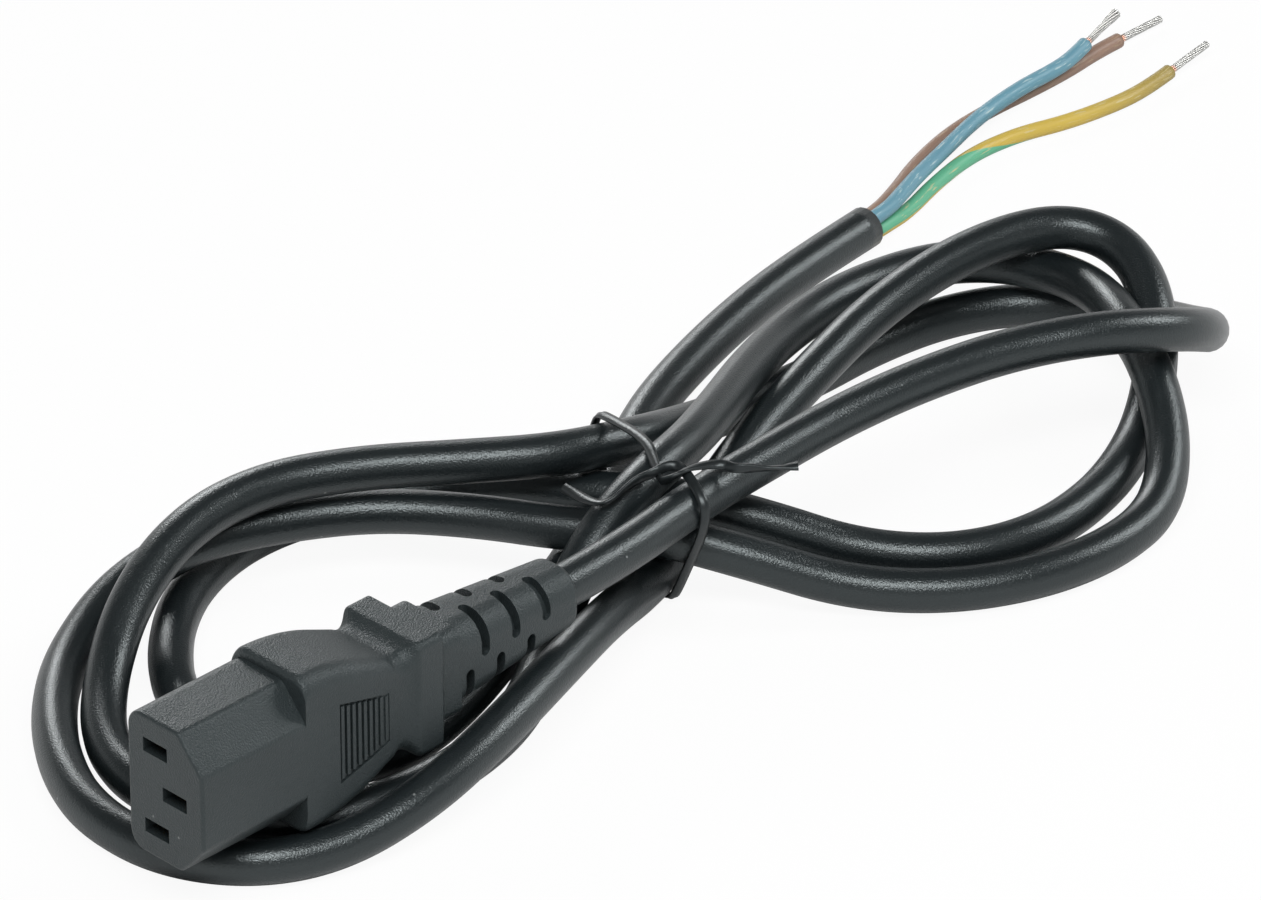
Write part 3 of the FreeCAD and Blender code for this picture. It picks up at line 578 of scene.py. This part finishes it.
def tie_strip():
    """One strip of coated wire: left tail, turn round the bundle, knot and right tail."""
    band = band_points()[1:]
    points = [Vector(place) for place in TIE_LEFT_TAIL] + band
    points += [Vector(place) for place in TIE_RIGHT_TAIL]
    strip = smooth_line("tie_strip", points)
    section = bpy.data.curves.new("tie_section", "CURVE")
    section.dimensions = "2D"
    outline = section.splines.new("POLY")
    lower = [(across, -height) for across, height in reversed(TIE_HALF_SECTION[1:-1])]
    outline.points.add(len(TIE_HALF_SECTION) + len(lower) - 1)
    for point, (across, height) in zip(outline.points, TIE_HALF_SECTION + lower):
        point.co = (across, height, 0.0, 1.0)
    outline.use_cyclic_u = True
    shape = bpy.data.objects.new("tie_section", section)
    bpy.context.scene.collection.objects.link(shape)
    first = len(TIE_LEFT_TAIL)
    last = first + len(band)
    for number, point in enumerate(strip.data.splines[0].points):
        before = max(0, first - number) / first
        after = max(0, number - last + 1) / len(TIE_RIGHT_TAIL)
        point.tilt = BAND_TILT + LEFT_TAIL_TURN * before + RIGHT_TAIL_TURN * after
    strip.data.bevel_mode = "OBJECT"
    strip.data.bevel_object = shape
    strip.data.use_fill_caps = True
    made_mesh(strip)
    bpy.data.objects.remove(shape)
    wear(strip, tie_black)
    return strip


# The cord
cord_points = [CORD_EXIT - CONNECTOR_WAY * CORD_SEAT, CORD_EXIT + CONNECTOR_WAY * CORD_LEAD]
cord_points += [Vector(place) for place in CORD_ROUTE]
cut_end = cord_points[-1]
cut_way = (cord_points[-1] - cord_points[-2]).normalized()
sheath = smooth_line("sheath", cord_points)
sheath_path = line_points(sheath)
round_skin(sheath, CORD_DIAMETER, CORD_SKIN)
open_end(sheath, cut_end, cut_way, CORD_DIAMETER, SHEATH_WALL, CORE_SEAT)
closed_end(sheath, cord_points[0], CORD_DIAMETER)
wear(sheath, sheath_black)
stand_for(sheath, "cord_sheath")

# The cores, each from the bottom of the open end of the sheath, with their strands
right = cut_way.cross(UP).normalized()
reach = CORD_DIAMETER / 2 - SHEATH_WALL - CORE_FIT - CORE_DIAMETER / 2
core_wall = (CORE_DIAMETER - CONDUCTOR_DIAMETER) / 2 - CORE_FIT
for colour, (angle, route) in CORES.items():
    turn = math.radians(angle)
    start = cut_end + right * (reach * math.cos(turn)) + UP * (reach * math.sin(turn))
    points = [start - cut_way * CORE_SEAT, start + cut_way * CORE_LEAD]
    points += [Vector(place) for place in route]
    end_way = (points[-1] - points[-2]).normalized()
    core = smooth_line(colour + "_insulation", points)
    core_path = line_points(core)
    round_skin(core, CORE_DIAMETER, CORE_SKIN)
    closed_end(core, points[0], CORE_DIAMETER)
    open_end(core, points[-1], end_way, CORE_DIAMETER, core_wall, STRAND_SEAT)
    wear(core, insulation[colour])
    stand_for(core, colour + "_core")
    strands = strand_bundle(colour + "_strands", points[-1], end_way, SPLAY[colour])
    stand_for(strands, CONDUCTORS[colour])

# The tie, which goes with the sheath
tie = tie_strip()
stand_for(tie, "twist_tie")

# The connector
for name, node in (("nose", "nose_insert"), ("grip", "grip_overmould")):
    stand_for(soft_edged(name, node), node)
for name in ("line_contact", "neutral_contact", "earth_contact"):
    wear(nodes[name], contact_brass)

# The stage: a white table in a white room, with three soft lamps
TABLE_SIZE = 8.0
TABLE_COLOUR = (0.80, 0.80, 0.80, 1.0)
TABLE_ROUGHNESS = 0.9
TABLE_WHITENESS = 0.93        # share of plain white in the table as seen; the rest shows the shadow
WALL_LIGHT = 0.85
CEILING_LIGHT = 0.10
WALL_TOP = (0.16, 0.46)       # how far a ray rises where the wall ends and where the ceiling begins
WHITE = (1.0, 1.0, 1.0, 1.0)
LAMPS = {                     # place, size and power of each
    "front_top": ((0.0, -0.76, 1.05), (1.0, 0.34), 14.0),
    "right_side": ((0.98, 0.33, 0.80), (0.42, 0.42), 6.5),
    "back_left": ((-0.37, 1.11, 0.56), (0.4, 0.4), 5.0),
}
CAMERA_PLACE = (-0.0035, -1.3909, 0.8350)
CAMERA_TILT = math.radians(59.0)
CAMERA_LENS = 293.5
CAMERA_SENSOR = 36.0


def seen_by_camera(tree):
    """One for what the camera sees itself, nothing for light and reflections."""
    return tree.nodes.new("ShaderNodeLightPath").outputs["Is Camera Ray"]


def table_top():
    """A white table top that keeps a soft shadow of the cord."""
    bpy.ops.mesh.primitive_plane_add(size=TABLE_SIZE)
    table = bpy.context.object
    table.name = "table_top"
    material, tree, shader = new_material("table_white")
    shader.inputs["Base Color"].default_value = TABLE_COLOUR
    shader.inputs["Roughness"].default_value = TABLE_ROUGHNESS
    shader.inputs["Specular IOR Level"].default_value = 0.0
    bright = tree.nodes.new("ShaderNodeEmission")
    bright.inputs["Color"].default_value = WHITE
    blend = tree.nodes.new("ShaderNodeMixShader")
    tree.links.new(work(tree, "MULTIPLY", seen_by_camera(tree), TABLE_WHITENESS), blend.inputs["Fac"])
    tree.links.new(shader.outputs["BSDF"], blend.inputs[1])
    tree.links.new(bright.outputs["Emission"], blend.inputs[2])
    tree.links.new(blend.outputs["Shader"], tree.nodes["Material Output"].inputs["Surface"])
    wear(table, material)


def lamp(name, place, size, power):
    """A soft rectangular lamp that faces the cord."""
    data = bpy.data.lights.new(name, "AREA")
    data.shape = "RECTANGLE"
    data.size, data.size_y = size
    data.energy = power
    light = bpy.data.objects.new(name, data)
    light.location = place
    light.rotation_euler = (-Vector(place)).to_track_quat("-Z", "Y").to_euler()
    light.visible_camera = False
    bpy.context.scene.collection.objects.link(light)


def surroundings():
    """A white room with a dark ceiling, white all over where the camera sees it."""
    world = bpy.data.worlds.new("room")
    bpy.context.scene.world = world
    world.use_nodes = True
    tree = world.node_tree
    coords = tree.nodes.new("ShaderNodeTexCoord")
    parts = tree.nodes.new("ShaderNodeSeparateXYZ")
    tree.links.new(coords.outputs["Generated"], parts.inputs["Vector"])
    level = spread(tree, parts.outputs["Z"], WALL_LIGHT, CEILING_LIGHT, *WALL_TOP)
    background = tree.nodes["Background"]
    background.inputs["Color"].default_value = WHITE
    tree.links.new(work(tree, "MAXIMUM", level, seen_by_camera(tree)), background.inputs["Strength"])


def camera():
    """The photograph's viewing angle: straight along the table, looking down, from far off."""
    data = bpy.data.cameras.new("camera")
    data.lens = CAMERA_LENS
    data.sensor_width = CAMERA_SENSOR
    view = bpy.data.objects.new("camera", data)
    view.location = CAMERA_PLACE
    view.rotation_euler = (CAMERA_TILT, 0.0, 0.0)
    bpy.context.scene.collection.objects.link(view)
    bpy.context.scene.camera = view


table_top()
for name, (place, size, power) in LAMPS.items():
    lamp(name, place, size, power)
surroundings()
camera()
bpy.context.scene.view_settings.view_transform = "Standard"
